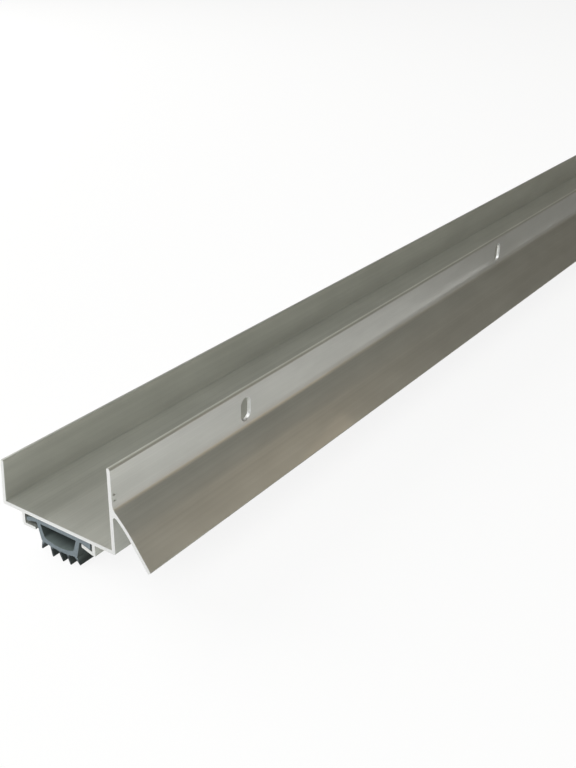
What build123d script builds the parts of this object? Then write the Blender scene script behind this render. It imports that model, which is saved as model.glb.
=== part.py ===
from build123d import *
from math import cos, radians, sin, sqrt, tan
import os

# Door bottom with a drip fin: an aluminium channel that slides over the lower edge of a door,
# and a fluted vinyl seal held in a track under it. Sizes are in millimetres and degrees.
# X runs along the door's width, -Y is the weather side, Z is up.
# The origin is the middle of the channel floor, where the door's lower edge sits.

# Length and screw slots
LENGTH = 914.4
SLOT_COUNT = 5
SLOT_END = 64.0           # first slot's centre to the end of the bar
SLOT_LENGTH = 8.4         # upright, so that the height can be set on the door
SLOT_WIDTH = 5.0
SLOT_TOP_MARGIN = 3.6     # top edge of the front wall to the slot
SLOT_FIN_MARGIN = 1.2     # slot to the drip fin's upper face

# Channel
WALL = 1.3
FLOOR_WIDTH = 45.4        # between the walls at the floor
FRONT_HEIGHT = 28.2
BACK_HEIGHT = 15.0
BACK_LEAN = 0.9           # how far the back leg's top leans in to grip the door
TOP_ROUND = 0.8           # weather-side edge of the front wall
EDGE_ROUND = 0.3          # other free edges
FOOT_ROUND = 0.6          # lower outside corners
FLOOR_FILLET = 0.2        # inside corners

# Drip fin: it leaves the front wall, bends down once and ends in a rounded tip
FIN_THICKNESS = 1.3
FIN_SHOULDER = 5.4        # reach of the flatter part
FIN_REACH = 13.8          # from the wall's outer face to the tip
FIN_ROOT_SLOPE = 44.5
FIN_TIP_SLOPE = 54.0
FIN_BEND = 3.5            # radius of the bend on the underside
FIN_ROOT_FILLET = 2.0
FIN_UNDER_FILLET = 0.8
FIN_TIP_ROUND = 0.4

# Track under the floor: a level hook at the back and a hook with a raised lip at the front
TRACK_WIDTH = 28.8        # between the hooks' legs
HOOK_WALL = 1.2
LIP_LENGTH = 4.4
BACK_LIP_THICKNESS = 1.0
BACK_LIP_ROOM = 2.1       # between the seal's flange and the level lip
FRONT_LIP_THICKNESS = 1.25
FRONT_LIP_SLOPE = 15.0

# Seal: a flange in the track, a hollow bulb below it and a row of flutes
FLANGE_THICKNESS = 1.4
FLANGE_SIDE_GAP = 0.7     # flange to each leg of the track
FLANGE_LIP_GAP = 0.15     # flange to the raised lip
FLANGE_HANG = 1.0         # how far its back edge hangs towards the level lip
BULB_LIP_GAP = 0.8        # bulb to the tip of each lip
BULB_DEPTH = 6.0          # from the flange to the bulb's lower corners
BULB_TAPER = 1.5          # how far each side leans in over that depth
BULB_SAG = 1.1            # how far the rounded bottom hangs below those corners
BULB_WALL = 1.5
BULB_CORNER = 1.2         # inside the hollow
FLUTE_LENGTH = 3.45
END_FLUTE_LENGTH = 3.0    # the first and the last
FLUTE_ROOT = 1.1
FLUTE_TIP = 0.5
FLUTE_INSET = 0.15        # bulb's lower corners to the end flutes
FLUTE_LEANS = (-15.0, 7.0, 24.0, 19.0, 38.0)    # towards the weather side, from the back

# Places that follow from the sizes, in section: fronts towards the weather side, levels upwards
FRONT_FACE = FLOOR_WIDTH / 2 + WALL
FIN_LEVEL = FRONT_HEIGHT - SLOT_TOP_MARGIN - SLOT_LENGTH - SLOT_FIN_MARGIN
SLOT_LEVEL = FRONT_HEIGHT - SLOT_TOP_MARGIN - SLOT_LENGTH / 2
SLOT_PITCH = (LENGTH - 2 * SLOT_END) / (SLOT_COUNT - 1)
TRACK_TOP = -WALL
TRACK_EDGE = TRACK_WIDTH / 2
LIP_TIP = TRACK_EDGE - LIP_LENGTH
LIP_RISE = tan(radians(FRONT_LIP_SLOPE))
FLANGE_UNDERSIDE = TRACK_TOP - FLANGE_THICKNESS
BULB_CORNER_LEVEL = FLANGE_UNDERSIDE - BULB_DEPTH
BULB_TOP = LIP_TIP - BULB_LIP_GAP
BULB_LOW = BULB_TOP - BULB_TAPER
FLUTE_SPREAD = BULB_LOW - FLUTE_INSET - FLUTE_ROOT / 2
FLUTE_PITCH = 2 * FLUTE_SPREAD / (len(FLUTE_LEANS) - 1)

# The sections are drawn looking along the bar and pushed through its whole length
SECTION = Plane(origin=(LENGTH / 2, 0, 0), x_dir=(0, -1, 0), z_dir=(-1, 0, 0))


def polygon(*points):
    return make_face(Polyline(*points, close=True))


def rounded(section, radius, *corners):
    """Rounds the section's corners that lie nearest to the given places."""
    for front, level in corners:
        corner = section.vertices().sort_by_distance((front, level, 0))[0]
        section = fillet(corner, radius)
    return section


def edge_round(thickness):
    return min(EDGE_ROUND, 0.4 * thickness)


def drip_fin():
    """Bent strip whose upper face meets the front wall at the fin's level."""
    root_fall = tan(radians(FIN_ROOT_SLOPE))
    tip_fall = tan(radians(FIN_TIP_SLOPE))
    root = FRONT_FACE - WALL / 2
    root_level = FIN_LEVEL + WALL / 2 * root_fall
    bend = FRONT_FACE + FIN_SHOULDER
    bend_level = FIN_LEVEL - FIN_SHOULDER * root_fall
    tip = FRONT_FACE + FIN_REACH
    tip_level = bend_level - (FIN_REACH - FIN_SHOULDER) * tip_fall
    half_bend = radians(FIN_ROOT_SLOPE + FIN_TIP_SLOPE) / 2
    across_bend = FIN_THICKNESS / cos(radians(FIN_TIP_SLOPE - FIN_ROOT_SLOPE) / 2)
    upper_bend = (bend, bend_level)
    under_bend = (bend - across_bend * sin(half_bend), bend_level - across_bend * cos(half_bend))
    upper_tip = (tip, tip_level)
    under_tip = (
        tip - FIN_THICKNESS * sin(radians(FIN_TIP_SLOPE)),
        tip_level - FIN_THICKNESS * cos(radians(FIN_TIP_SLOPE)),
    )
    fin = polygon(
        (root, root_level),
        upper_bend,
        upper_tip,
        under_tip,
        under_bend,
        (root, root_level - FIN_THICKNESS / cos(radians(FIN_ROOT_SLOPE))),
    )
    fin = rounded(fin, FIN_BEND + FIN_THICKNESS, upper_bend)
    fin = rounded(fin, FIN_BEND, under_bend)
    return rounded(fin, min(FIN_TIP_ROUND, 0.4 * FIN_THICKNESS), upper_tip, under_tip)


def back_hook():
    """Leg below the floor with a level lip that points to the front."""
    lip_level = FLANGE_UNDERSIDE - BACK_LIP_ROOM
    bottom = lip_level - BACK_LIP_THICKNESS
    hook = polygon(
        (-TRACK_EDGE, TRACK_TOP + WALL / 2),
        (-TRACK_EDGE - HOOK_WALL, TRACK_TOP + WALL / 2),
        (-TRACK_EDGE - HOOK_WALL, bottom),
        (-LIP_TIP, bottom),
        (-LIP_TIP, lip_level),
        (-TRACK_EDGE, lip_level),
    )
    corners = ((-TRACK_EDGE - HOOK_WALL, bottom), (-LIP_TIP, bottom), (-LIP_TIP, lip_level))
    return rounded(hook, edge_round(BACK_LIP_THICKNESS), *corners)


def front_hook():
    """Leg below the floor with a lip that rises to the back, under the flange's thick edge."""
    tip_level = FLANGE_UNDERSIDE - FLANGE_LIP_GAP
    heel_level = tip_level - LIP_LENGTH * LIP_RISE
    lip_drop = FRONT_LIP_THICKNESS / cos(radians(FRONT_LIP_SLOPE))
    hook = polygon(
        (TRACK_EDGE, TRACK_TOP + WALL / 2),
        (TRACK_EDGE + HOOK_WALL, TRACK_TOP + WALL / 2),
        (TRACK_EDGE + HOOK_WALL, heel_level - lip_drop),
        (TRACK_EDGE, heel_level - lip_drop),
        (LIP_TIP, tip_level - lip_drop),
        (LIP_TIP, tip_level),
        (TRACK_EDGE, heel_level),
    )
    corners = (
        (TRACK_EDGE + HOOK_WALL, heel_level - lip_drop),
        (LIP_TIP, tip_level - lip_drop),
        (LIP_TIP, tip_level),
    )
    return rounded(hook, edge_round(FRONT_LIP_THICKNESS), *corners)


def channel_section():
    front_wall = FLOOR_WIDTH / 2
    back_leg = -FLOOR_WIDTH / 2
    leg_top = back_leg + BACK_LEAN
    section = polygon(
        (back_leg - WALL, TRACK_TOP),
        (FRONT_FACE, TRACK_TOP),
        (FRONT_FACE, FRONT_HEIGHT),
        (front_wall, FRONT_HEIGHT),
        (front_wall, 0),
        (back_leg, 0),
        (leg_top, BACK_HEIGHT),
        (leg_top - WALL, BACK_HEIGHT),
    )
    free_edges = ((front_wall, FRONT_HEIGHT), (leg_top, BACK_HEIGHT), (leg_top - WALL, BACK_HEIGHT))
    section = rounded(section, min(TOP_ROUND, 0.65 * WALL), (FRONT_FACE, FRONT_HEIGHT))
    section = rounded(section, min(EDGE_ROUND, 0.25 * WALL), *free_edges)
    section = rounded(section, FOOT_ROUND, (FRONT_FACE, TRACK_TOP), (back_leg - WALL, TRACK_TOP))
    section = rounded(section, FLOOR_FILLET, (front_wall, 0), (back_leg, 0))
    section = section + drip_fin() + back_hook() + front_hook()
    under_root = FIN_LEVEL - FIN_THICKNESS / cos(radians(FIN_ROOT_SLOPE))
    section = rounded(section, FIN_ROOT_FILLET, (FRONT_FACE, FIN_LEVEL))
    return rounded(section, FIN_UNDER_FILLET, (FRONT_FACE, under_root))


def channel():
    bar = extrude(SECTION * channel_section(), amount=LENGTH)
    wall_middle = Plane.XZ.offset(FRONT_FACE - WALL / 2)
    slot = SlotOverall(SLOT_LENGTH, SLOT_WIDTH, rotation=90)
    for place in GridLocations(SLOT_PITCH, 1, SLOT_COUNT, 1):
        bar -= extrude(wall_middle * Pos(0, SLOT_LEVEL) * place * slot, amount=WALL, both=True)
    return bar


def bulb_outline(wall):
    """The bulb's tapered sides and rounded bottom, moved in by the given wall."""
    low = BULB_LOW - wall
    top = BULB_TOP - wall
    level = BULB_CORNER_LEVEL + wall
    sides = Polyline((-low, level), (-top, FLANGE_UNDERSIDE), (top, FLANGE_UNDERSIDE), (low, level))
    bottom = ThreePointArc((low, level), (0, level - BULB_SAG), (-low, level))
    return make_face(sides + bottom)


def hollow():
    low = BULB_LOW - BULB_WALL
    level = BULB_CORNER_LEVEL + BULB_WALL
    return rounded(bulb_outline(BULB_WALL), BULB_CORNER, (-low, level), (low, level))


def bulb_bottom(front):
    """Level of the bulb's rounded bottom at a distance in front of its middle."""
    radius = (BULB_LOW * BULB_LOW + BULB_SAG * BULB_SAG) / (2 * BULB_SAG)
    return BULB_CORNER_LEVEL - BULB_SAG + radius - sqrt(radius * radius - front * front)


def flute(front, length, lean):
    """Tapered blade that starts in the middle of the bulb's wall."""
    blade = polygon(
        (-FLUTE_ROOT / 2, BULB_WALL / 2),
        (-FLUTE_TIP / 2, -length),
        (FLUTE_TIP / 2, -length),
        (FLUTE_ROOT / 2, BULB_WALL / 2),
    )
    return Pos(front, bulb_bottom(front)) * Rot(0, 0, lean) * blade


def seal_section():
    flange_edge = TRACK_EDGE - FLANGE_SIDE_GAP
    section = polygon(
        (-LIP_TIP, TRACK_TOP),
        (-flange_edge, TRACK_TOP - FLANGE_HANG),
        (-flange_edge, FLANGE_UNDERSIDE - FLANGE_HANG),
        (-LIP_TIP, FLANGE_UNDERSIDE),
        (LIP_TIP, FLANGE_UNDERSIDE),
        (flange_edge, FLANGE_UNDERSIDE - (flange_edge - LIP_TIP) * LIP_RISE),
        (flange_edge, TRACK_TOP),
    )
    section = section + bulb_outline(0)
    last = len(FLUTE_LEANS) - 1
    for number, lean in enumerate(FLUTE_LEANS):
        length = END_FLUTE_LENGTH if number in (0, last) else FLUTE_LENGTH
        section = section + flute(number * FLUTE_PITCH - FLUTE_SPREAD, length, lean)
    return section - hollow()


def seal():
    return extrude(SECTION * seal_section(), amount=LENGTH)


os.makedirs("parts", exist_ok=True)
for name, piece in (("channel", channel()), ("seal", seal())):
    piece.label = name
    export_step(piece, f"parts/{name}.step")
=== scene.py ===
from math import ceil, cos, pi, radians, sin, sqrt, tan

import bmesh
import bpy
from mathutils import Matrix, Vector
from mathutils.geometry import intersect_line_sphere_2d


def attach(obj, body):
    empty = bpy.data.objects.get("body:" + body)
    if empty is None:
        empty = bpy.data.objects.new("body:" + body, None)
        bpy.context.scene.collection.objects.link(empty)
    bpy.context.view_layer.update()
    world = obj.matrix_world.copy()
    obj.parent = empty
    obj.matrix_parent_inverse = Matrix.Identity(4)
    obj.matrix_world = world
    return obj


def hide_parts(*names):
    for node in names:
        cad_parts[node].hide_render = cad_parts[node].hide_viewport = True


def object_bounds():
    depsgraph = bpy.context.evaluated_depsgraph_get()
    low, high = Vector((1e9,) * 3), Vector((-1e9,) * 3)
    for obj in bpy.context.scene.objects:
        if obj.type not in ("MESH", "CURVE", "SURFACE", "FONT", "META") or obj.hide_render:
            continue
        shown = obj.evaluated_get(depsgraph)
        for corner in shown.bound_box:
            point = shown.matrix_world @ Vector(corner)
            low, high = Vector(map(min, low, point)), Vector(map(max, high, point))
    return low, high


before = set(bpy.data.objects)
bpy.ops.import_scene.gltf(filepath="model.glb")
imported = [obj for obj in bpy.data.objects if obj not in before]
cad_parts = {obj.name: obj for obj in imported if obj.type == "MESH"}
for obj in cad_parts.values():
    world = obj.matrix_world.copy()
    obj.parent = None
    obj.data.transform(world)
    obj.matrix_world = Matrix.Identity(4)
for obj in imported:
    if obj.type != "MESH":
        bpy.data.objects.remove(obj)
cad_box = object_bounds()

# Section sizes in metres: fronts run towards the weather side (-Y), levels upwards (+Z)
MM = 0.001
BAR_START = cad_box[0].x
BAR_END = cad_box[1].x
ARC_STEP = radians(9)        # the flat steps of a round turn by no more than this,
ARC_LEAST = 6                # and there are at least so many
SHARP_ANGLE = radians(28)    # edges that turn by more than this stay sharp
FLAT_WEIGHT = 100            # how far large faces rule the shading of the rounds beside them
END_FACING = 0.99            # a sawn end's face looks along the bar by at least this share

# Screw slots
SLOT_COUNT = 5
SLOT_END = 64.0 * MM
SLOT_LENGTH = 8.4 * MM
SLOT_WIDTH = 5.0 * MM
SLOT_TOP_MARGIN = 3.6 * MM
SLOT_FIN_MARGIN = 1.2 * MM
SLOT_MOUTH = 0.25 * MM       # the punch draws the outer edge in by this much
MOUTH_STEPS = 5

# Channel
WALL = 1.3 * MM
FLOOR_WIDTH = 45.4 * MM
FRONT_HEIGHT = 28.2 * MM
BACK_HEIGHT = 15.0 * MM
BACK_LEAN = 0.9 * MM
TOP_ROUND = 0.8 * MM
EDGE_ROUND = 0.3 * MM
FOOT_ROUND = 0.6 * MM
FLOOR_FILLET = 0.2 * MM

# Drip fin
FIN_THICKNESS = 1.3 * MM
FIN_SHOULDER = 5.4 * MM
FIN_REACH = 13.8 * MM
FIN_ROOT_SLOPE = radians(44.5)
FIN_TIP_SLOPE = radians(54)
FIN_BEND = 40 * MM
FIN_ROOT_FILLET = 4.0 * MM
FIN_UNDER_FILLET = 0.8 * MM
FIN_TIP_ROUND = 0.4 * MM

# Track under the floor
TRACK_WIDTH = 28.8 * MM
HOOK_WALL = 1.2 * MM
LIP_LENGTH = 4.4 * MM
BACK_LIP_THICKNESS = 1.0 * MM
BACK_LIP_ROOM = 2.1 * MM
FRONT_LIP_THICKNESS = 1.25 * MM
FRONT_LIP_SLOPE = radians(15)
TRACK_FILLET = 0.2 * MM

# Seal
FLANGE_THICKNESS = 1.4 * MM
FLANGE_SIDE_GAP = 0.7 * MM
FLANGE_LIP_GAP = 0.15 * MM
FLANGE_HANG = 1.0 * MM
FLANGE_ROUND = 0.25 * MM
BULB_LIP_GAP = 0.8 * MM
BULB_DEPTH = 6.0 * MM
BULB_TAPER = 1.5 * MM
BULB_SAG = 1.1 * MM
BULB_WALL = 1.5 * MM
BULB_CORNER = 1.2 * MM
HOLLOW_STEPS = 8             # flat steps along the hollow's rounded bottom
FLUTE_LENGTH = 3.45 * MM
END_FLUTE_LENGTH = 3.0 * MM
FLUTE_ROOT = 1.1 * MM
FLUTE_TIP = 0.5 * MM
FLUTE_INSET = 0.15 * MM
FLUTE_LEANS = (-15, 7, 24, 19, 38)
FLUTE_ROUND = 0.15 * MM

# Two small knocks on the front wall's outer face, close to the near end: level and radius
NICKS = ((19.5 * MM, 0.75 * MM), (17.4 * MM, 0.6 * MM))
NICK_FROM_END = 1.3 * MM
NICK_DEPTH = 0.5 * MM
NICK_SQUASH = 0.8            # a knock's height, as a share of its length

# Places that follow from the sizes
FRONT_FACE = FLOOR_WIDTH / 2 + WALL
FIN_LEVEL = FRONT_HEIGHT - SLOT_TOP_MARGIN - SLOT_LENGTH - SLOT_FIN_MARGIN
SLOT_LEVEL = FRONT_HEIGHT - SLOT_TOP_MARGIN - SLOT_LENGTH / 2
SLOT_PITCH = (BAR_END - BAR_START - 2 * SLOT_END) / (SLOT_COUNT - 1)
TRACK_EDGE = TRACK_WIDTH / 2
LIP_TIP = TRACK_EDGE - LIP_LENGTH
LIP_RISE = tan(FRONT_LIP_SLOPE)
FLANGE_UNDERSIDE = -WALL - FLANGE_THICKNESS
BULB_CORNER_LEVEL = FLANGE_UNDERSIDE - BULB_DEPTH
BULB_TOP = LIP_TIP - BULB_LIP_GAP
BULB_LOW = BULB_TOP - BULB_TAPER
BULB_RADIUS = (BULB_LOW**2 + BULB_SAG**2) / (2 * BULB_SAG)
BULB_CENTRE = Vector((0, BULB_CORNER_LEVEL - BULB_SAG + BULB_RADIUS))
FLUTE_SPREAD = BULB_LOW - FLUTE_INSET - FLUTE_ROOT / 2
FLUTE_PITCH = 2 * FLUTE_SPREAD / (len(FLUTE_LEANS) - 1)
FLUTE_ROOTS = BULB_CORNER_LEVEL - BULB_SAG / 2

# Camera, fitted to the photograph's edges, end face and two screw slots
CAMERA_PLACE = (-0.6392, -0.2083, 0.1817)
CAMERA_HEADING = radians(34.27)
CAMERA_PITCH = radians(-26.30)
CAMERA_ROLL = radians(1.06)
CAMERA_LENS = 49.24
CAMERA_NEAR = 0.01           # nothing closer than this is seen

# Stage: places and sizes in metres, linear colours
FLOOR_SIZE = 60.0
FLOOR_GAP = 0.05 * MM
FLOOR_COLOUR = (0.93, 0.93, 0.925, 1)
FLOOR_WHITE = 0.88           # share of plain white in what the camera sees of the floor
FLOOR_MIRRORED = 0.40        # and in what the metal shows of it, clear of the bar
SHADE_REACH = 20 * MM        # how far round the bar the metal shows the floor's shade instead
ROOM_TONES = (
    # height, from level to straight up, and colour
    (0.0, (0.115, 0.10, 0.078)),
    (0.35, (0.07, 0.062, 0.047)),
    (1.0, (0.16, 0.155, 0.12)),
)
CARD_TONES = ((0.0, (0.83, 0.83, 0.84)), (1.0, (0.17, 0.17, 0.165)))
CARD_EDGE = (-0.40, -0.11)   # the card starts at the first place, and goes from pale to dark up to the second
CARD_END = 0.95
CARD_DEPTH = (-0.60, -0.055)
CARD_TURN = radians(1.9)     # brings its edge closer to the bar towards the far end
LIT_PLACE = (-0.25, 0, 0)    # what the softboxes point at
SOFTBOXES = (
    # place, width, power, colour
    ((-1.30, -0.10, 0.75), 1.2, 14.8, (0.97, 1.0, 1.0)),
    ((-0.30, 1.20, 0.50), 1.2, 21.5, (1.0, 1.0, 0.98)),
    ((0.50, -1.00, 0.15), 0.5, 0.66, (1.0, 0.78, 0.54)),
)
# Materials: linear colours, shades that multiply them, ranges of roughness, and relief in metres
NOISE_RANGE = (0.3, 0.7)     # the middle of a noise, over which tones and roughness change

# Anodised skin
SKIN_DARK = (0.575, 0.58, 0.54)
SKIN_LIGHT = (0.62, 0.625, 0.585)
SKIN_LINES = (1.5, 1500, 3.0)  # as in every grain, lumps per metre along the bar and across it, and detail
SKIN_STREAKS = (1.0, 260, 2.0)
SKIN_PATCHES = (35, 110, 3.0)
SKIN_LINE_SHADES = (0.96, 1.04)
SKIN_PATCH_SHADES = (0.94, 1.06)
SKIN_LINE_RELIEF = 0.004 * MM
SKIN_ROUGHNESS = (0.31, 0.345)
SKIN_METALLIC = 0.6
SKIN_ANISOTROPY = 0.5
GLOSS_ROUGHNESS = 0.05       # of the clear layer that closes the anodised skin
RIM_HIGHLIGHT_HEIGHT = 0.2 * MM          # a highlight is painted along the front wall's top edge over this height, so many times paler
RIM_HIGHLIGHT_SHADE = 1.5
PUNCH_WAVES = 0.25 * MM      # the punched wall's outer face is as wavy as this
FACING_OUT = (-0.9, -0.99)   # the waves come in as a face turns to the weather side between these

# Bare sawn metal
BARE_DARK = (0.74, 0.74, 0.74)
BARE_LIGHT = (0.82, 0.82, 0.82)
BARE_SPECKS = (2500, 2500, 2.0)
BARE_ROUGHNESS = (0.36, 0.5)
SAW_CENTRE = (0, 0.06, -0.11)  # shift from the blade's middle to the section's
SAW_RINGS = 900.0            # scale of the blade's marks,
SAW_WANDER = 2.0             # and how far they stray from true rings
SAW_DETAIL = 2.0
SAW_RELIEF = 0.006 * MM

# Vinyl, as it comes from the die and where it is cut; the skin's tones are painted darker than the cut
# face's, as shade
SHADED_VINYL_DARK = (0.062, 0.075, 0.073)
SHADED_VINYL_LIGHT = (0.085, 0.102, 0.10)
VINYL_LINES = (3, 1200, 3.0)
VINYL_CLOUDS = (30, 120, 2.0)
VINYL_LINE_SHADES = (0.94, 1.06)
VINYL_LINE_RELIEF = 0.01 * MM
VINYL_ROUGHNESS = (0.5, 0.65)
VINYL_SPECULAR = 0.25
MOUTH_PAINTED_LIGHT = 2.1             # light is painted on the floor of the hollow's mouth, making it so much paler
MOUTH_PAINTED_LIGHT_REACH = 4.5 * MM
PAINTED_LIGHT_FACING_UP = (0.2, 0.9)       # the painted light comes in as a face turns upwards between these
CUT_VINYL_DARK = (0.135, 0.16, 0.178)
CUT_VINYL_LIGHT = (0.175, 0.205, 0.228)
CUT_VINYL_PULLS = (1500, 1500, 4.0)
CUT_VINYL_RELIEF = 0.03 * MM
CUT_VINYL_ROUGHNESS = (0.7, 0.9)
CUT_FLUTE_PAINTED_SHADE = 0.22       # the flutes are painted darker as shade: this share of the bulb's tone where they are cut,
FLUTE_PAINTED_SHADE = 0.65           # and this share elsewhere
FLUTE_BLEND = 1.0 * MM       # height over which the tone changes


def rounded_outline(corners):
    """Closed line of points through (front, level, radius) corners, with arcs at the rounded ones."""
    points = []
    for number, (front, level, radius) in enumerate(corners):
        corner = Vector((front, level))
        to_last = (Vector(corners[number - 1][:2]) - corner).normalized()
        to_next = (Vector(corners[(number + 1) % len(corners)][:2]) - corner).normalized()
        if radius == 0:
            points.append(corner)
            continue
        half = to_last.angle(to_next) / 2
        centre = corner + (to_last + to_next).normalized() * (radius / sin(half))
        spoke = corner + to_last * (radius / tan(half)) - centre
        turn = pi - 2 * half
        if to_last.cross(to_next) > 0:
            turn = -turn
        steps = max(ARC_LEAST, ceil(abs(turn) / ARC_STEP))
        for step in range(steps + 1):
            points.append(centre + Matrix.Rotation(turn * step / steps, 2) @ spoke)
    return points


def fin_corners():
    """Drip fin, from its lower root round the tip to its upper root."""
    bend = Vector((FRONT_FACE + FIN_SHOULDER, FIN_LEVEL - FIN_SHOULDER * tan(FIN_ROOT_SLOPE)))
    reach = FIN_REACH - FIN_SHOULDER
    tip = bend + Vector((reach, -reach * tan(FIN_TIP_SLOPE)))
    across_bend = FIN_THICKNESS / cos((FIN_TIP_SLOPE - FIN_ROOT_SLOPE) / 2)
    half_bend = (FIN_ROOT_SLOPE + FIN_TIP_SLOPE) / 2
    under_bend = bend - across_bend * Vector((sin(half_bend), cos(half_bend)))
    under_tip = tip - FIN_THICKNESS * Vector((sin(FIN_TIP_SLOPE), cos(FIN_TIP_SLOPE)))
    return [
        (FRONT_FACE, FIN_LEVEL - FIN_THICKNESS / cos(FIN_ROOT_SLOPE), FIN_UNDER_FILLET),
        (*under_bend, FIN_BEND),
        (*under_tip, FIN_TIP_ROUND),
        (*tip, FIN_TIP_ROUND),
        (*bend, FIN_BEND + FIN_THICKNESS),
        (FRONT_FACE, FIN_LEVEL, FIN_ROOT_FILLET),
    ]


def back_hook_corners():
    lip_level = FLANGE_UNDERSIDE - BACK_LIP_ROOM
    bottom = lip_level - BACK_LIP_THICKNESS
    return [
        (-TRACK_EDGE - HOOK_WALL, -WALL, TRACK_FILLET),
        (-TRACK_EDGE - HOOK_WALL, bottom, EDGE_ROUND),
        (-LIP_TIP, bottom, EDGE_ROUND),
        (-LIP_TIP, lip_level, EDGE_ROUND),
        (-TRACK_EDGE, lip_level, TRACK_FILLET),
        (-TRACK_EDGE, -WALL, TRACK_FILLET),
    ]


def front_hook_corners():
    tip_level = FLANGE_UNDERSIDE - FLANGE_LIP_GAP
    heel_level = tip_level - LIP_LENGTH * LIP_RISE
    lip_drop = FRONT_LIP_THICKNESS / cos(FRONT_LIP_SLOPE)
    return [
        (TRACK_EDGE, -WALL, TRACK_FILLET),
        (TRACK_EDGE, heel_level, TRACK_FILLET),
        (LIP_TIP, tip_level, EDGE_ROUND),
        (LIP_TIP, tip_level - lip_drop, EDGE_ROUND),
        (TRACK_EDGE, heel_level - lip_drop, TRACK_FILLET),
        (TRACK_EDGE + HOOK_WALL, heel_level - lip_drop, EDGE_ROUND),
        (TRACK_EDGE + HOOK_WALL, -WALL, TRACK_FILLET),
    ]


def channel_outline():
    inside = FLOOR_WIDTH / 2
    leg_top = -inside + BACK_LEAN
    return rounded_outline(
        [(-FRONT_FACE, -WALL, FOOT_ROUND)]
        + back_hook_corners()
        + front_hook_corners()
        + [(FRONT_FACE, -WALL, FOOT_ROUND)]
        + fin_corners()
        + [
            (FRONT_FACE, FRONT_HEIGHT, TOP_ROUND),
            (inside, FRONT_HEIGHT, EDGE_ROUND),
            (inside, 0, FLOOR_FILLET),
            (-inside, 0, FLOOR_FILLET),
            (leg_top, BACK_HEIGHT, EDGE_ROUND),
            (leg_top - WALL, BACK_HEIGHT, EDGE_ROUND),
        ]
    )


def flute_corners(middle, length, lean):
    """Tapered blade on the bulb's rounded bottom, from its back root round the tip to its front root."""
    foot = Vector((middle, BULB_CENTRE.y - sqrt(BULB_RADIUS**2 - middle**2)))
    down = Vector((sin(lean), -cos(lean)))
    side = Vector((cos(lean), sin(lean)))
    roots = []
    tips = []
    for way in (-0.5, 0.5):
        inner = foot - down * BULB_WALL / 2 + side * FLUTE_ROOT * way
        tip = foot + down * length + side * FLUTE_TIP * way
        hits = intersect_line_sphere_2d(inner, tip, BULB_CENTRE, BULB_RADIUS)
        roots.append(next(hit for hit in hits if hit is not None))
        tips.append(tip)
    return [(*place, FLUTE_ROUND) for place in (roots[0], tips[0], tips[1], roots[1])]


def seal_outline():
    flange_edge = TRACK_EDGE - FLANGE_SIDE_GAP
    thick_edge = FLANGE_UNDERSIDE - (flange_edge - LIP_TIP) * LIP_RISE
    corners = [
        (-LIP_TIP, -WALL, 0),
        (-flange_edge, -WALL - FLANGE_HANG, FLANGE_ROUND),
        (-flange_edge, FLANGE_UNDERSIDE - FLANGE_HANG, FLANGE_ROUND),
        (-LIP_TIP, FLANGE_UNDERSIDE, 0),
        (-BULB_TOP, FLANGE_UNDERSIDE, FLANGE_ROUND),
        (-BULB_LOW, BULB_CORNER_LEVEL, 0),
    ]
    last = len(FLUTE_LEANS) - 1
    for number, lean in enumerate(FLUTE_LEANS):
        length = END_FLUTE_LENGTH if number in (0, last) else FLUTE_LENGTH
        corners += flute_corners(number * FLUTE_PITCH - FLUTE_SPREAD, length, radians(lean))
    corners += [
        (BULB_LOW, BULB_CORNER_LEVEL, 0),
        (BULB_TOP, FLANGE_UNDERSIDE, FLANGE_ROUND),
        (LIP_TIP, FLANGE_UNDERSIDE, 0),
        (flange_edge, thick_edge, FLANGE_ROUND),
        (flange_edge, -WALL, FLANGE_ROUND),
    ]
    return rounded_outline(corners)


def hollow_outline():
    """Inside of the bulb: tapered sides, a flat top and a rounded bottom."""
    low = BULB_LOW - BULB_WALL
    top = BULB_TOP - BULB_WALL
    level = BULB_CORNER_LEVEL + BULB_WALL
    radius = (low**2 + BULB_SAG**2) / (2 * BULB_SAG)
    centre = level - BULB_SAG + radius
    corners = [
        (top, FLANGE_UNDERSIDE, FLANGE_ROUND),
        (-top, FLANGE_UNDERSIDE, FLANGE_ROUND),
        (-low, level, BULB_CORNER),
    ]
    for step in range(1, HOLLOW_STEPS):
        front = low * (2 * step / HOLLOW_STEPS - 1)
        corners.append((front, centre - sqrt(radius**2 - front**2), 0))
    corners.append((low, level, BULB_CORNER))
    return rounded_outline(corners)


def new_object(name, mesh):
    piece = bpy.data.objects.new(name, mesh)
    bpy.context.scene.collection.objects.link(piece)
    return piece


def mesh_of(name, builder):
    bmesh.ops.recalc_face_normals(builder, faces=builder.faces)
    mesh = bpy.data.meshes.new(name)
    builder.to_mesh(mesh)
    builder.free()
    return mesh


def bar(name, *outlines):
    """Pushes a section's closed lines along the whole bar and caps both ends."""
    builder = bmesh.new()
    rims = ([], [])
    for outline in outlines:
        rings = []
        for x in (BAR_START, BAR_END):
            rings.append([builder.verts.new((x, -point.x, point.y)) for point in outline])
        for number in range(len(outline)):
            start_pair = (rings[0][number - 1], rings[0][number])
            end_pair = (rings[1][number - 1], rings[1][number])
            builder.faces.new((*start_pair, *reversed(end_pair)))
            for rim, pair in zip(rims, (start_pair, end_pair)):
                rim.append(builder.edges.get(pair))
    for rim in rims:
        bmesh.ops.triangle_fill(builder, edges=rim, use_beauty=True)
    return new_object(name, mesh_of(name, builder))


def slot_ring(builder, x, front, widen):
    """Upright slot's outline at a distance in front of the middle, widened all round."""
    radius = SLOT_WIDTH / 2 + widen
    half_run = (SLOT_LENGTH - SLOT_WIDTH) / 2
    steps = ceil(pi / ARC_STEP)
    ring = []
    for middle, start in ((half_run, 0), (-half_run, pi)):
        for step in range(steps + 1):
            angle = start + pi * step / steps
            place = (x + radius * cos(angle), -front, SLOT_LEVEL + middle + radius * sin(angle))
            ring.append(builder.verts.new(place))
    return ring


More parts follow.
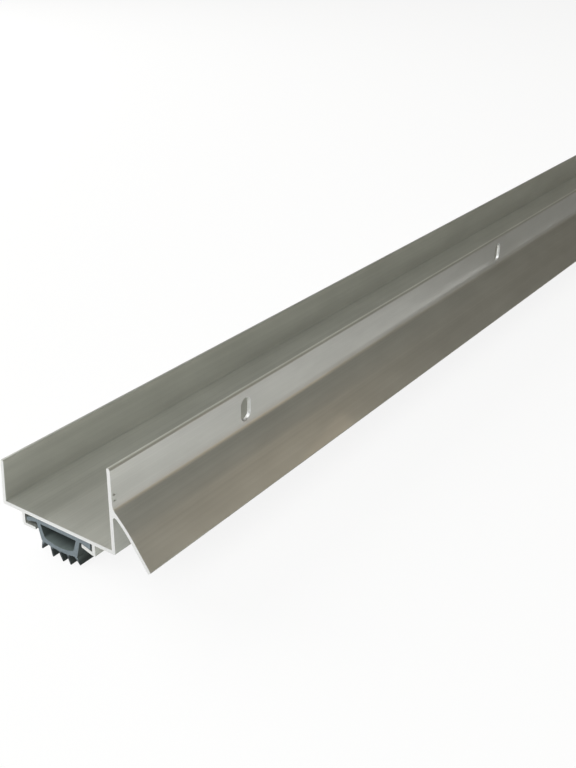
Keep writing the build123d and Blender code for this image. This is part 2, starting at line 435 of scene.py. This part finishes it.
def skin_rings(builder, rings):
    """Closed skin over a row of rings with equal numbers of points."""
    for ring, following in zip(rings, rings[1:]):
        for number in range(len(ring)):
            builder.faces.new((ring[number - 1], ring[number], following[number], following[number - 1]))
    builder.faces.new(rings[0])
    builder.faces.new(rings[-1])


def slot_punches():
    """Punches for all the slots: a rounded mouth at the outer face, then straight through."""
    builder = bmesh.new()
    for number in range(SLOT_COUNT):
        x = BAR_START + SLOT_END + number * SLOT_PITCH
        rings = [slot_ring(builder, x, FRONT_FACE + WALL, SLOT_MOUTH)]
        for step in range(MOUTH_STEPS + 1):
            angle = pi / 2 * step / MOUTH_STEPS
            front = FRONT_FACE - SLOT_MOUTH * (1 - cos(angle))
            rings.append(slot_ring(builder, x, front, SLOT_MOUTH * (1 - sin(angle))))
        rings.append(slot_ring(builder, x, FRONT_FACE - 2 * WALL, 0))
        skin_rings(builder, rings)
    return new_object("slot_punches", mesh_of("slot_punches", builder))


def knocks():
    """Shallow lens-shaped dents in the front wall's outer face."""
    builder = bmesh.new()
    for level, radius in NICKS:
        place = Matrix.Translation((BAR_START + NICK_FROM_END, -FRONT_FACE, level))
        shape = Matrix.Diagonal((radius, NICK_DEPTH, radius * NICK_SQUASH, 1))
        bmesh.ops.create_icosphere(builder, subdivisions=3, radius=1, matrix=place @ shape)
    return new_object("knocks", mesh_of("knocks", builder))


def cut(piece, cutter, material):
    """Takes the cutter's shape out of the piece, with the material on the new faces."""
    cutter.data.materials.append(material)
    step = piece.modifiers.new("cut", "BOOLEAN")
    step.operation = "DIFFERENCE"
    step.solver = "EXACT"
    step.material_mode = "TRANSFER"
    step.object = cutter
    depsgraph = bpy.context.evaluated_depsgraph_get()
    piece.data = bpy.data.meshes.new_from_object(piece.evaluated_get(depsgraph))
    piece.modifiers.clear()
    bpy.data.objects.remove(cutter)


def dress_ends(piece, material):
    """Puts the cut material on both sawn ends."""
    piece.data.materials.append(material)
    number = len(piece.data.materials) - 1
    half_length = (BAR_END - BAR_START) / 2
    for face in piece.data.polygons:
        if abs(face.normal.x) > END_FACING and abs(face.center.x) > half_length - NICK_FROM_END / 2:
            face.material_index = number


def smooth(piece):
    """Smooth rounds between flat faces that stay flat."""
    piece.data.shade_smooth()
    piece.data.set_sharp_from_angle(angle=SHARP_ANGLE)
    step = piece.modifiers.new("flat_faces", "WEIGHTED_NORMAL")
    step.keep_sharp = True
    step.weight = FLAT_WEIGHT


def add_node(tree, kind, inputs=None, **settings):
    """New node with its settings, and its inputs set to values or linked to other nodes' outputs."""
    node = tree.nodes.new(kind)
    for name, value in settings.items():
        setattr(node, name, value)
    for name, value in (inputs or {}).items():
        if isinstance(value, bpy.types.NodeSocket):
            tree.links.new(value, node.inputs[name])
        else:
            node.inputs[name].default_value = value
    return node


def new_material(name):
    material = bpy.data.materials.new(name)
    material.use_nodes = True
    return material, material.node_tree, material.node_tree.nodes["Principled BSDF"]


def grain(tree, along, across, detail):
    """Noise with so many lumps per metre along the bar and across it."""
    place = add_node(tree, "ShaderNodeTexCoord")
    scale = (along, across, across)
    mapping = add_node(tree, "ShaderNodeMapping", {"Vector": place.outputs["Object"], "Scale": scale})
    inputs = {"Vector": mapping.outputs["Vector"], "Scale": 1.0, "Detail": detail}
    return add_node(tree, "ShaderNodeTexNoise", inputs).outputs["Fac"]


def between(tree, factor, low, high):
    """Number from low to high as the noise goes through the middle of its range."""
    start, end = NOISE_RANGE
    inputs = {"Value": factor, "From Min": start, "From Max": end, "To Min": low, "To Max": high}
    return add_node(tree, "ShaderNodeMapRange", inputs).outputs["Result"]


def ramp(tree, factor, *stops):
    """Colour that goes through the given stops, each a position and a colour."""
    node = add_node(tree, "ShaderNodeValToRGB", {"Fac": factor})
    elements = node.color_ramp.elements
    while len(elements) < len(stops):
        elements.new(1.0)
    for element, (position, colour) in zip(elements, stops):
        element.position = position
        element.color = (*colour, 1)
    return node.outputs["Color"]


def tones(tree, factor, dark, light):
    """Colour from dark to light as the noise goes through the middle of its range."""
    start, end = NOISE_RANGE
    return ramp(tree, factor, (start, dark), (end, light))


def shaded(tree, colour, factor, low, high):
    """The colour made darker or lighter by a noise."""
    inputs = {"Color": colour, "Value": between(tree, factor, low, high)}
    return add_node(tree, "ShaderNodeHueSaturation", inputs).outputs["Color"]


def largest(tree, *values):
    """The largest of some numbers."""
    result = values[0]
    for value in values[1:]:
        node = add_node(tree, "ShaderNodeMath", {0: result, 1: value}, operation="MAXIMUM")
        result = node.outputs["Value"]
    return result


def times(tree, value, factor):
    return add_node(tree, "ShaderNodeMath", {0: value, 1: factor}, operation="MULTIPLY").outputs["Value"]


def share(tree, kind, axis, low, high):
    """Goes from 0 to 1 as a place's or a normal's coordinate goes from low to high."""
    vector = add_node(tree, "ShaderNodeTexCoord").outputs[kind]
    value = add_node(tree, "ShaderNodeSeparateXYZ", {"Vector": vector}).outputs[axis]
    inputs = {"Value": value, "From Min": low, "From Max": high}
    return add_node(tree, "ShaderNodeMapRange", inputs).outputs["Result"]


def shaded_by_share(tree, colour, factor, low, high):
    """The colour times a number from low to high as the factor goes from 0 to 1."""
    inputs = {"Value": factor, "To Min": low, "To Max": high}
    shade = add_node(tree, "ShaderNodeMapRange", inputs).outputs["Result"]
    return add_node(tree, "ShaderNodeHueSaturation", {"Color": colour, "Value": shade}).outputs["Color"]


def bump(tree, height, distance, below=None):
    """Raises a noise by a distance in metres, on top of the bump below it."""
    inputs = {"Height": height, "Strength": 1.0, "Distance": distance}
    if below:
        inputs["Normal"] = below
    return add_node(tree, "ShaderNodeBump", inputs).outputs["Normal"]


def anodised_aluminium():
    """Satin skin with the die's fine lines, under a clear gloss, and wavy on the wall that was punched."""
    material, tree, shader = new_material("anodised_aluminium")
    lines = grain(tree, *SKIN_LINES)
    streaks = grain(tree, *SKIN_STREAKS)
    patches = grain(tree, *SKIN_PATCHES)
    colour = tones(tree, streaks, SKIN_DARK, SKIN_LIGHT)
    colour = shaded(tree, colour, lines, *SKIN_LINE_SHADES)
    colour = shaded(tree, colour, patches, *SKIN_PATCH_SHADES)
    # painted highlight: the front wall's top edge is made paler
    rim = share(tree, "Object", "Z", FRONT_HEIGHT - RIM_HIGHLIGHT_HEIGHT, FRONT_HEIGHT)
    colour = shaded_by_share(tree, colour, rim, 1.0, RIM_HIGHLIGHT_SHADE)
    tree.links.new(colour, shader.inputs["Base Color"])
    tree.links.new(between(tree, streaks, *SKIN_ROUGHNESS), shader.inputs["Roughness"])
    facing_out = share(tree, "Normal", "Y", *FACING_OUT)
    outside = share(tree, "Object", "Y", -FRONT_FACE + WALL / 2, -FRONT_FACE)
    punched = times(tree, facing_out, outside)
    waves = bump(tree, times(tree, patches, punched), PUNCH_WAVES)
    tree.links.new(bump(tree, lines, SKIN_LINE_RELIEF, waves), shader.inputs["Normal"])
    tree.links.new(waves, shader.inputs["Coat Normal"])
    tangent = add_node(tree, "ShaderNodeTangent", direction_type="RADIAL", axis="X")
    tree.links.new(tangent.outputs["Tangent"], shader.inputs["Tangent"])
    shader.inputs["Metallic"].default_value = SKIN_METALLIC
    shader.inputs["Anisotropic"].default_value = SKIN_ANISOTROPY
    shader.inputs["Coat Weight"].default_value = 1.0
    shader.inputs["Coat Roughness"].default_value = GLOSS_ROUGHNESS
    return material


def sawn_aluminium():
    """Bright bare metal with the saw blade's curved marks."""
    material, tree, shader = new_material("sawn_aluminium")
    place = add_node(tree, "ShaderNodeTexCoord")
    inputs = {"Vector": place.outputs["Object"], "Location": SAW_CENTRE}
    mapping = add_node(tree, "ShaderNodeMapping", inputs)
    inputs = {
        "Vector": mapping.outputs["Vector"],
        "Scale": SAW_RINGS,
        "Distortion": SAW_WANDER,
        "Detail": SAW_DETAIL,
    }
    marks = add_node(tree, "ShaderNodeTexWave", inputs, wave_type="RINGS", rings_direction="X")
    specks = grain(tree, *BARE_SPECKS)
    tree.links.new(tones(tree, specks, BARE_DARK, BARE_LIGHT), shader.inputs["Base Color"])
    tree.links.new(between(tree, specks, *BARE_ROUGHNESS), shader.inputs["Roughness"])
    tree.links.new(bump(tree, marks.outputs["Fac"], SAW_RELIEF), shader.inputs["Normal"])
    shader.inputs["Metallic"].default_value = 1.0
    return material


def above_flutes(tree):
    """Goes from 0 in the flutes to 1 in the bulb above them."""
    return share(tree, "Object", "Z", FLUTE_ROOTS - FLUTE_BLEND, FLUTE_ROOTS)


def vinyl():
    """Smooth grey vinyl with faint lines from the die, and light painted in the mouths of the hollow."""
    material, tree, shader = new_material("vinyl")
    lines = grain(tree, *VINYL_LINES)
    clouds = grain(tree, *VINYL_CLOUDS)
    # painted shade: the skin's tones are darker than the cut face's
    colour = tones(tree, clouds, SHADED_VINYL_DARK, SHADED_VINYL_LIGHT)
    colour = shaded(tree, colour, lines, *VINYL_LINE_SHADES)
    bulb = above_flutes(tree)
    # painted shade: the flutes are darker than the bulb above them
    colour = shaded_by_share(tree, colour, bulb, FLUTE_PAINTED_SHADE, 1.0)
    # painted light: upward faces of the bulb near both ends, paler towards the open end
    near_mouth = share(tree, "Object", "X", BAR_START + MOUTH_PAINTED_LIGHT_REACH, BAR_START)
    far_mouth = share(tree, "Object", "X", BAR_END - MOUTH_PAINTED_LIGHT_REACH, BAR_END)
    facing_up = share(tree, "Normal", "Z", *PAINTED_LIGHT_FACING_UP)
    painted_light = times(tree, times(tree, largest(tree, near_mouth, far_mouth), facing_up), bulb)
    colour = shaded_by_share(tree, colour, painted_light, 1.0, MOUTH_PAINTED_LIGHT)
    tree.links.new(colour, shader.inputs["Base Color"])
    tree.links.new(between(tree, lines, *VINYL_ROUGHNESS), shader.inputs["Roughness"])
    tree.links.new(bump(tree, lines, VINYL_LINE_RELIEF), shader.inputs["Normal"])
    shader.inputs["Specular IOR Level"].default_value = VINYL_SPECULAR
    return material


def cut_vinyl():
    """Matt face where the blade went through the vinyl, paler than the skin, whose tones are painted darker
    as shade.
    """
    material, tree, shader = new_material("cut_vinyl")
    pulls = grain(tree, *CUT_VINYL_PULLS)
    colour = tones(tree, pulls, CUT_VINYL_DARK, CUT_VINYL_LIGHT)
    # painted shade: the cut flutes are darker than the cut bulb
    colour = shaded_by_share(tree, colour, above_flutes(tree), CUT_FLUTE_PAINTED_SHADE, 1.0)
    tree.links.new(colour, shader.inputs["Base Color"])
    tree.links.new(between(tree, pulls, *CUT_VINYL_ROUGHNESS), shader.inputs["Roughness"])
    tree.links.new(bump(tree, pulls, CUT_VINYL_RELIEF), shader.inputs["Normal"])
    shader.inputs["Specular IOR Level"].default_value = VINYL_SPECULAR
    return material


def channel():
    piece = bar("aluminium_channel", channel_outline())
    skin = anodised_aluminium()
    bare = sawn_aluminium()
    piece.data.materials.append(skin)
    cut(piece, slot_punches(), bare)
    cut(piece, knocks(), skin)
    dress_ends(piece, bare)
    smooth(piece)
    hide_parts("channel")
    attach(piece, "root")


def seal():
    piece = bar("vinyl_seal", seal_outline(), hollow_outline())
    piece.data.materials.append(vinyl())
    dress_ends(piece, cut_vinyl())
    smooth(piece)
    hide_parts("seal")
    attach(piece, "root")


def mix_shaders(tree, factor, first, second):
    node = add_node(tree, "ShaderNodeMixShader", {"Fac": factor, 1: first, 2: second})
    return node.outputs["Shader"]


def level_sheet(name, material, low, high):
    """Flat sheet at the given lowest and highest corners."""
    mesh = bpy.data.meshes.new(name)
    places = [(low[0], low[1]), (high[0], low[1]), (high[0], high[1]), (low[0], high[1])]
    mesh.from_pydata([(x, y, low[2]) for x, y in places], [], [(0, 1, 2, 3)])
    mesh.materials.append(material)
    sheet = new_object(name, mesh)
    return sheet


def clear_of_bar(tree):
    """Goes from 0 under the bar to 1 at the shade's reach from its box, on every side."""
    sides = []
    for number, axis in enumerate("XY"):
        low, high = (corner[number] for corner in cad_box)
        sides.append(share(tree, "Object", axis, low, low - SHADE_REACH))
        sides.append(share(tree, "Object", axis, high, high + SHADE_REACH))
    return largest(tree, *sides)


def floor():
    """White floor that takes the bar's shadow, and can be looked through from below."""
    material, tree, shader = new_material("floor")
    shader.inputs["Base Color"].default_value = FLOOR_COLOUR
    shader.inputs["Roughness"].default_value = 1.0
    shader.inputs["Specular IOR Level"].default_value = 0.0
    path = add_node(tree, "ShaderNodeLightPath").outputs
    reflected = largest(tree, path["Is Glossy Ray"], path["Is Transmission Ray"])
    mirrored = times(tree, reflected, clear_of_bar(tree))
    shares = ((path["Is Camera Ray"], FLOOR_WHITE), (mirrored, FLOOR_MIRRORED))
    glow = largest(tree, *(times(tree, seen, part) for seen, part in shares))
    white = add_node(tree, "ShaderNodeEmission").outputs["Emission"]
    clear = add_node(tree, "ShaderNodeBsdfTransparent").outputs["BSDF"]
    below = add_node(tree, "ShaderNodeNewGeometry").outputs["Backfacing"]
    surface = mix_shaders(tree, below, mix_shaders(tree, glow, shader.outputs["BSDF"], white), clear)
    tree.links.new(surface, tree.nodes["Material Output"].inputs["Surface"])
    half = FLOOR_SIZE / 2
    level = cad_box[0].z - FLOOR_GAP
    level_sheet("floor", material, (-half, -half, level), (half, half, level))


def card():
    """Card in front of the bar, pale at the near end and dark beyond, seen only in reflections."""
    material, tree, _ = new_material("card")
    tone = ramp(tree, share(tree, "Object", "X", *CARD_EDGE), *CARD_TONES)
    glow = add_node(tree, "ShaderNodeEmission", {"Color": tone})
    tree.links.new(glow.outputs["Emission"], tree.nodes["Material Output"].inputs["Surface"])
    level = cad_box[0].z
    low = (CARD_EDGE[0], CARD_DEPTH[0], level)
    sheet = level_sheet("card", material, low, (CARD_END, CARD_DEPTH[1], level))
    sheet.rotation_euler.z = CARD_TURN
    sheet.visible_camera = False
    sheet.visible_diffuse = False
    sheet.visible_shadow = False
    sheet.visible_transmission = False


def surroundings():
    """Plain dim room, paler at level and overhead than between."""
    world = bpy.data.worlds.new("room")
    world.use_nodes = True
    tree = world.node_tree
    place = add_node(tree, "ShaderNodeTexCoord").outputs["Generated"]
    height = add_node(tree, "ShaderNodeSeparateXYZ", {"Vector": place}).outputs["Z"]
    tree.links.new(ramp(tree, height, *ROOM_TONES), tree.nodes["Background"].inputs["Color"])
    bpy.context.scene.world = world


def softboxes():
    for place, width, power, colour in SOFTBOXES:
        light = bpy.data.lights.new("softbox", "AREA")
        light.size = width
        light.energy = power
        light.color = colour
        lamp = new_object("softbox", light)
        lamp.location = place
        lamp.rotation_euler = (Vector(LIT_PLACE) - Vector(place)).to_track_quat("-Z", "Y").to_euler()


def camera():
    lens = bpy.data.cameras.new("camera")
    lens.lens = CAMERA_LENS
    lens.clip_start = CAMERA_NEAR
    eye = new_object("camera", lens)
    turn = Matrix.Rotation(CAMERA_HEADING - pi / 2, 4, "Z")
    tilt = Matrix.Rotation(pi / 2 + CAMERA_PITCH, 4, "X")
    roll = Matrix.Rotation(CAMERA_ROLL, 4, "Z")
    eye.matrix_world = Matrix.Translation(CAMERA_PLACE) @ turn @ tilt @ roll
    bpy.context.scene.camera = eye


channel()
seal()
floor()
card()
surroundings()
softboxes()
camera()
bpy.context.scene.view_settings.view_transform = "Standard"
